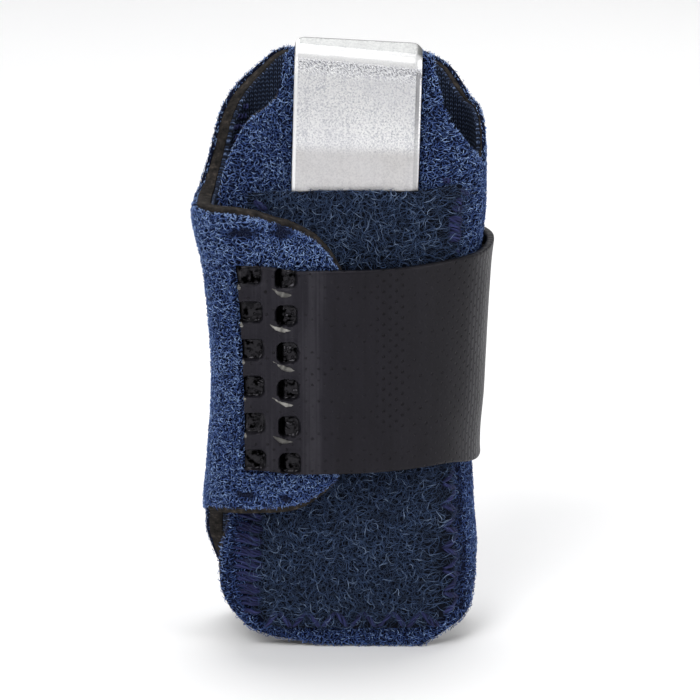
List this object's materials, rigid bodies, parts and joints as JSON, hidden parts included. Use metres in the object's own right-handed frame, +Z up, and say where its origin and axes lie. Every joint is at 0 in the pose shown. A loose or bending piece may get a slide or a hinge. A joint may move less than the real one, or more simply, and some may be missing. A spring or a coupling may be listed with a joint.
{
  "type": "toe straightener",
  "caption": "Padded cloth wrap that closes round a toe with a welded hook strap and holds a bendable metal stay in a sewn pocket along the toe, to keep it straight.",
  "frame": {"origin": "middle of the bounding box in X and Y, on the plane of the bottom cut edges of the front and back panels", "axes": "+Z up along the toe, -Y out of the front with the stay and the strap's weld, +X to the right seen from the front, where the strap goes round"},
  "size_m": [0.0356, 0.0264, 0.0741],
  "materials": {
    "velour": "brushed loop velour, blue",
    "foam": "cut foam edge, brown-black",
    "lining": "fine woven mesh, near-black navy",
    "pocket_loop": "long curly loop pile, dark navy",
    "stay_metal": "satin, fine rolled grain",
    "strap_plastic": "satin charcoal, glossy where melted"
  },
  "bodies": {
    "root": {"velour_face": "velour", "foam_core": "foam", "mesh_lining": "lining", "pocket_panel": "pocket_loop", "splint_stay": "stay_metal", "hook_strap": "strap_plastic"}
  },
  "joints": []
}
